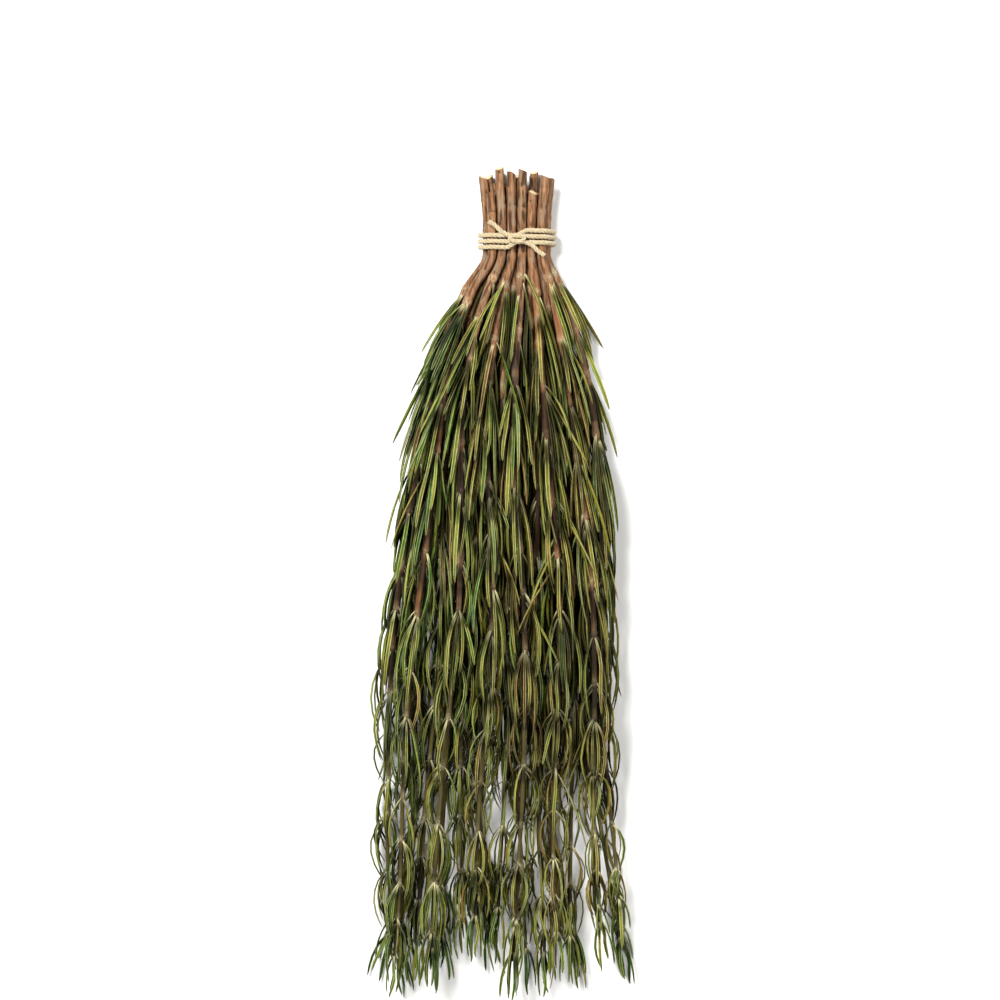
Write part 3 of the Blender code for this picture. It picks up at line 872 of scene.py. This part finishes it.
def evened(points, step, window):
    """The same route at equal steps, its corners rounded over this length."""
    points = np.array(points)
    gone = np.concatenate([[0], np.cumsum(np.linalg.norm(np.diff(points, axis=0), axis=1))])
    at = np.arange(0, gone[-1], step)
    line = np.stack([np.interp(at, gone, points[:, k]) for k in range(3)], axis=1)
    half = int(window / step / 2)
    ends = [np.repeat(line[:1], half, axis=0), line, np.repeat(line[-1:], half, axis=0)]
    kernel = np.hanning(2 * half + 3)[1:-1]
    kernel /= kernel.sum()
    padded = np.concatenate(ends)
    return np.stack([np.convolve(padded[:, k], kernel, "valid") for k in range(3)], axis=1)


def carried_frame(line):
    """Two directions square to a line at each point, carried along it without turning."""
    ahead = unit(np.gradient(line, axis=0))
    first = np.cross(ahead[0], (0, 0, 1))
    if np.linalg.norm(first) < 0.1:
        first = np.cross(ahead[0], (0, 1, 0))
    firsts = [first / np.linalg.norm(first)]
    for way in ahead[1:]:
        carried = firsts[-1] - way * (firsts[-1] @ way)
        firsts.append(carried / np.linalg.norm(carried))
    firsts = np.array(firsts)
    return firsts, np.cross(ahead, firsts)


def build_twine(finish):
    """The twine: one cord of three twisted plies, from one trimmed end round the stems to the other."""
    turns = twine_turns()
    first, second = (twine_end(turns[0], side) for side in (1, -1))
    line = evened(first[::-1] + turns[1:-1] + second, TWINE_STEP, TWINE_SMOOTHING)
    count = len(line)
    one, two = carried_frame(line)
    gone = np.arange(count) * TWINE_STEP
    angles = np.linspace(0, 2 * math.pi, PLY_SIDES, endpoint=False)
    vertices, faces, valley = [], [], []
    for ply in range(PLIES):
        turn = 2 * math.pi * (gone / PLY_PITCH + ply / PLIES)
        outward = one * np.cos(turn)[:, None] + two * np.sin(turn)[:, None]
        centre = line + outward * (TWINE_RADIUS * PLY_OFFSET)
        side, up = carried_frame(centre)
        yarn = 1 + YARN_RISE * np.cos(YARNS * angles[None] - gone[:, None] * YARN_TWIST + ply)
        circle = side[:, None] * np.cos(angles)[None, :, None] + up[:, None] * np.sin(angles)[None, :, None]
        points = centre[:, None] + circle * (TWINE_RADIUS * PLY_RADIUS * yarn)[..., None]
        points[..., 2] = np.maximum(points[..., 2], 0.0)
        start = ply * count * PLY_SIDES
        vertices.append(points.reshape(-1, 3))
        faces.extend(ring_faces(count, PLY_SIDES, start).tolist())
        faces.append([start + k for k in range(PLY_SIDES)][::-1])
        faces.append([start + (count - 1) * PLY_SIDES + k for k in range(PLY_SIDES)])
        # Where each ply faces the others, for painted shade between them
        valley.append(0.5 - 0.5 * np.einsum("ijk,ik->ij", circle, outward).ravel())
    values = {"valley": np.concatenate(valley)}
    return new_piece("twine", np.concatenate(vertices), faces, values, finish)


class Nodes:
    """A short way to build a material's nodes."""

    def __init__(self, name):
        self.material = bpy.data.materials.new(name)
        self.material.use_nodes = True
        self.tree = self.material.node_tree
        self.shader = self.tree.nodes["Principled BSDF"]

    def link(self, source, target):
        self.tree.links.new(source, target)

    def put(self, socket, value):
        """Sets a socket to a value, or links it if the value is another node's output."""
        if isinstance(value, bpy.types.NodeSocket):
            self.link(value, socket)
        else:
            socket.default_value = value

    def value(self, key):
        """What each point of the mesh has under this name."""
        node = self.tree.nodes.new("ShaderNodeAttribute")
        node.attribute_name = key
        return node.outputs["Fac"]

    def noise(self, scale, detail=3.0, stretch=(1, 1, 1), roughness=0.55):
        place = self.tree.nodes.new("ShaderNodeTexCoord")
        mapping = self.tree.nodes.new("ShaderNodeMapping")
        mapping.inputs["Scale"].default_value = stretch
        self.link(place.outputs["Object"], mapping.inputs["Vector"])
        node = self.tree.nodes.new("ShaderNodeTexNoise")
        node.inputs["Scale"].default_value = scale
        node.inputs["Detail"].default_value = detail
        node.inputs["Roughness"].default_value = roughness
        self.link(mapping.outputs["Vector"], node.inputs["Vector"])
        return node.outputs["Fac"]

    def math(self, operation, a, b, clamp=False):
        node = self.tree.nodes.new("ShaderNodeMath")
        node.operation = operation
        node.use_clamp = clamp
        self.put(node.inputs[0], a)
        self.put(node.inputs[1], b)
        return node.outputs[0]

    def plus(self, a, b):
        return self.math("ADD", a, b)

    def less(self, a, b):
        return self.math("SUBTRACT", a, b)

    def times(self, a, b, clamp=False):
        return self.math("MULTIPLY", a, b, clamp)

    def spread(self, value, low, high, to_low=0.0, to_high=1.0):
        """Maps a stretch of values to another, smoothly, and holds it at both ends."""
        node = self.tree.nodes.new("ShaderNodeMapRange")
        node.interpolation_type = "SMOOTHSTEP"
        self.put(node.inputs["Value"], value)
        limits = {"From Min": low, "From Max": high, "To Min": to_low, "To Max": to_high}
        for key, limit in limits.items():
            node.inputs[key].default_value = limit
        return node.outputs["Result"]

    def by_reach(self, low, high, to_low=0.0, to_high=1.0):
        """A value that changes between two places along the leafy stem."""
        return self.spread(self.value("reach"), low, high, to_low, to_high)

    def mix(self, share, a, b, blend="MIX"):
        node = self.tree.nodes.new("ShaderNodeMix")
        node.data_type = "RGBA"
        node.blend_type = blend
        self.put(node.inputs["Factor"], share)
        self.put(node.inputs["A"], a)
        self.put(node.inputs["B"], b)
        return node.outputs["Result"]

    def ramp(self, value, *stops):
        """A colour ramp: its two outer stops come first, and then those between them."""
        node = self.tree.nodes.new("ShaderNodeValToRGB")
        band = node.color_ramp
        for i, (place, colour) in enumerate(stops):
            stop = band.elements[i] if i < 2 else band.elements.new(place)
            stop.position = place
            stop.color = colour
        self.link(value, node.inputs["Fac"])
        return node.outputs["Color"]

    def bump(self, height, distance, strength=1.0):
        node = self.tree.nodes.new("ShaderNodeBump")
        node.inputs["Strength"].default_value = strength
        node.inputs["Distance"].default_value = distance
        self.link(height, node.inputs["Height"])
        self.link(node.outputs["Normal"], self.shader.inputs["Normal"])


def colour(red, green, blue):
    """A colour given as eight-bit sRGB, as the linear one that shaders take."""
    parts = [c / 255 for c in (red, green, blue)]
    return (*(c / 12.92 if c <= 0.04045 else ((c + 0.055) / 1.055) ** 2.4 for c in parts), 1.0)


def leaf_finish():
    """Dried rosemary leaf: olive to khaki, greener on some, with pale rolled margins.
    Painted highlight lies on its ridges, and painted shade in its groove, at its edges, towards its tip and
    deep in the bundle.
    """
    made = Nodes("dried_rosemary_leaf")

    # Its hue: mottled, browner in the lower lanterns, green again in the tufts, and greyer on the pale ones
    green = made.less(made.value("green"), made.by_reach(0.55, 0.80, 0.0, 0.10))
    green = made.plus(green, made.by_reach(0.88, 0.99, 0.0, 0.34))
    mottled = made.plus(green, made.spread(made.noise(260, 3), 0.3, 0.7, -0.16, 0.16))
    dry = made.ramp(
        mottled,
        (0.0, colour(108, 84, 42)),
        (1.0, colour(44, 82, 20)),
        (0.14, colour(124, 114, 50)),
        (0.42, colour(112, 114, 42)),
        (0.75, colour(76, 100, 28)),
    )
    dry = made.mix(made.times(made.value("pale"), 0.6), dry, colour(100, 112, 76))

    # How light it is: by itself and by where it grows, with painted highlight on its ridges, painted shade in
    # its groove and at its edges, and painted shade deeper in the bundle and towards its tip
    speckle = made.spread(made.noise(900, 4), 0.25, 0.75, 0.70, 0.96)
    own = made.plus(made.times(made.value("light"), 0.16), speckle)
    own = made.plus(own, made.by_reach(0.30, 0.70, 0.23, 0.03))
    own = made.plus(own, made.by_reach(0.45, 0.80, 0.0, 0.12))
    own = made.less(own, made.by_reach(0.88, 0.98, 0.0, 0.02))
    # Painted highlight on the ridges and painted shade in the groove and at the edges, from the crest
    shade = made.plus(own, made.times(made.value("crest"), 0.42))
    # Painted shade deep in the bundle, more from the middle on and less on the tips
    shade_depth = made.plus(made.value("depth"), made.by_reach(0.4, 0.8, 0.0, 0.20))
    shade_depth = made.less(shade_depth, made.by_reach(0.84, 0.95, 0.0, 0.28))
    shade = made.times(shade, made.spread(shade_depth, 0.32, 0.95, 1.03, 0.16))
    # Painted shade towards the tip, where it lies under the next leaves
    shade = made.times(shade, made.spread(made.value("along"), 0.45, 1.0, 1.04, 0.72))
    # The painted light and shade as a factor on the colour: a warm dark in shade, neutral at 1, lighter above
    # it
    factor = made.ramp(
        made.times(shade, 0.5),
        (0.0, (0, 0, 0, 1)),
        (1.0, (2, 2, 2, 1)),
        (0.28, (0.53, 0.51, 0.29, 1)),
    )
    shaded_and_highlit = made.mix(1.0, dry, factor, "MULTIPLY")

    # Its pale margins, partly their own colour and partly painted highlight on the ridges, which fades deep
    # in the bundle; its woolly joint with the stem, dulled by painted shade deep in the bundle; and a burnt
    # tip on some
    # How much painted light reaches a place: less deep in the bundle
    in_light = made.spread(shade_depth, 0.38, 0.95, 1.0, 0.12)
    rim = made.times(made.spread(made.value("crest"), 0.2, 1.0, 0.0, 0.62), in_light)
    rim = made.times(rim, made.spread(made.noise(420, 3), 0.35, 0.65, 0.35, 1.0))
    rimmed = made.mix(rim, shaded_and_highlit, colour(198, 196, 142))
    at_joint = made.spread(made.value("along"), 0.24, 0.03)
    # The pale joint fades into painted shade deep in the bundle
    joint = made.times(at_joint, made.spread(shade_depth, 0.4, 1.0, 0.9, 0.2))
    joined = made.mix(joint, rimmed, colour(224, 216, 168))
    at_tip = made.spread(made.value("along"), 0.93, 1.0)
    burnt = made.times(at_tip, made.spread(made.value("light"), -0.2, 0.8))
    tipped = made.mix(burnt, joined, colour(96, 74, 42))

    made.link(tipped, made.shader.inputs["Base Color"])
    made.link(made.spread(made.noise(1500, 2), 0.3, 0.7, 0.42, 0.62), made.shader.inputs["Roughness"])
    made.shader.inputs["Specular IOR Level"].default_value = 0.12
    made.bump(made.noise(2600, 3, (1, 0.25, 1)), 0.00012, 0.7)
    return made.material


def stem_finish():
    """Rosemary bark: streaks of brown, red and grey, green near the tip, woolly at nodes, wood at the cut.
    Painted shade lies in its fissures and deep in the bundle.
    """
    made = Nodes("rosemary_stem")
    bark = made.ramp(
        made.noise(1300, 6, (1, 0.08, 1), 0.7),
        (0.30, colour(58, 39, 26)),
        (0.72, colour(182, 148, 112)),
        (0.44, colour(112, 80, 54)),
        (0.55, colour(146, 108, 76)),
    )
    flakes = made.spread(made.noise(420, 4, (1, 0.35, 1)), 0.50, 0.62, 0, 0.6)
    flaked = made.mix(flakes, bark, colour(134, 120, 100))
    # Painted shade in the fissures of the bark
    fissure_shaded = made.mix(made.spread(made.value("relief"), -0.01, -0.09, 0, 0.85), flaked, colour(38, 27, 19))
    redness = made.spread(made.value("tone"), -1.4, 1.4, 0.1, 0.6)
    rosy = made.times(redness, made.by_reach(0.02, 0.16, 0.35, 1.0))
    reddish = made.mix(rosy, fissure_shaded, colour(152, 96, 54))
    young = made.mix(made.by_reach(0.40, 0.72, 0, 0.9), reddish, colour(66, 63, 28))
    wool = made.times(made.value("node"), made.spread(made.noise(1400, 3), 0.35, 0.65, 0.0, 0.45), clamp=True)
    woolly = made.mix(wool, young, colour(206, 194, 156))
    # Painted shade deep in the bundle
    shaded = made.mix(made.spread(made.value("depth"), 0.52, 1.05, 0, 0.86), woolly, colour(16, 12, 7))
    wood = made.ramp(made.value("cut"), (0.60, colour(196, 166, 116)), (1.0, colour(228, 212, 172)))
    surface = made.mix(made.spread(made.value("cut"), 0.3, 0.6), shaded, wood)
    made.link(surface, made.shader.inputs["Base Color"])
    made.shader.inputs["Roughness"].default_value = 0.78
    made.shader.inputs["Specular IOR Level"].default_value = 0.2
    made.bump(made.noise(1700, 6, (1, 0.12, 1), 0.75), 0.0005, 1.0)
    return made.material


def twine_finish():
    """Undyed cotton twine: off-white, with painted shade between the plies, fuzzy."""
    made = Nodes("cotton_twine")
    yarn = made.ramp(made.noise(2200, 4), (0.3, colour(158, 138, 100)), (0.7, colour(204, 188, 152)))
    # Painted shade between the plies
    deep = made.mix(made.spread(made.value("valley"), 0.25, 0.8, 0, 0.9), yarn, colour(78, 60, 36))
    made.link(deep, made.shader.inputs["Base Color"])
    made.shader.inputs["Roughness"].default_value = 0.92
    made.shader.inputs["Sheen Weight"].default_value = 0.35
    made.bump(made.noise(5200, 4), 0.00008, 0.9)
    return made.material


def floor_finish():
    """A plain pale floor."""
    made = Nodes("pale_floor")
    pale = made.ramp(made.noise(14, 2), (0.0, colour(232, 231, 228)), (1.0, colour(238, 237, 235)))
    made.link(pale, made.shader.inputs["Base Color"])
    made.shader.inputs["Roughness"].default_value = 0.9
    return made.material


def build_camera():
    """The camera looks straight down, with the cut ends at the top of the picture."""
    data = bpy.data.cameras.new("camera")
    data.lens = LENS
    data.sensor_width = SENSOR
    data.clip_start, data.clip_end = CLIP
    camera = bpy.data.objects.new("camera", data)
    camera.location = AIM + Vector((0, 0, FIELD * LENS / SENSOR))
    bpy.context.scene.collection.objects.link(camera)
    bpy.context.scene.camera = camera


def build_light(name, place, size, power):
    """A soft square lamp, aimed at the middle of the bundle."""
    data = bpy.data.lights.new(name, "AREA")
    data.size = size
    data.energy = power
    lamp = bpy.data.objects.new(name, data)
    lamp.location = place
    lamp.rotation_mode = "QUATERNION"
    lamp.rotation_quaternion = (AIM - Vector(place)).to_track_quat("-Z", "Y")
    bpy.context.scene.collection.objects.link(lamp)


def build_studio():
    """The floor, the lamps and the pale surroundings."""
    mesh = bpy.data.meshes.new("floor")
    corners = [(x * FLOOR_REACH, y * FLOOR_REACH, 0) for x, y in ((-1, -1), (1, -1), (1, 1), (-1, 1))]
    mesh.from_pydata(corners, [], [(0, 1, 2, 3)])
    mesh.materials.append(floor_finish())
    floor = bpy.data.objects.new("floor", mesh)
    bpy.context.scene.collection.objects.link(floor)
    build_light("key", KEY_PLACE, KEY_SIZE, KEY_POWER)
    build_light("fill", FILL_PLACE, FILL_SIZE, FILL_POWER)
    world = bpy.data.worlds.new("studio")
    world.use_nodes = True
    background = world.node_tree.nodes["Background"]
    background.inputs["Color"].default_value = SURROUNDINGS
    background.inputs["Strength"].default_value = SURROUNDINGS_STRENGTH
    bpy.context.scene.world = world


def dress(piece, node):
    """Lets a piece stand for a solid."""
    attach(piece, "root")
    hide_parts(node)


def main():
    build_camera()
    build_studio()
    sprigs = bundle()
    thicket = grow(sprigs)
    grow_smaller_leaves(thicket, sprigs)
    depths = Depths(thicket)
    leaf, bark = leaf_finish(), stem_finish()
    for sprig in sprigs:
        dress(build_stem(sprig, depths, bark), sprig.name)
        dress(build_leaves(sprig, depths, leaf), sprig.name)
    dress(build_twine(twine_finish()), "tie")


main()
bpy.context.scene.view_settings.view_transform = "Standard"
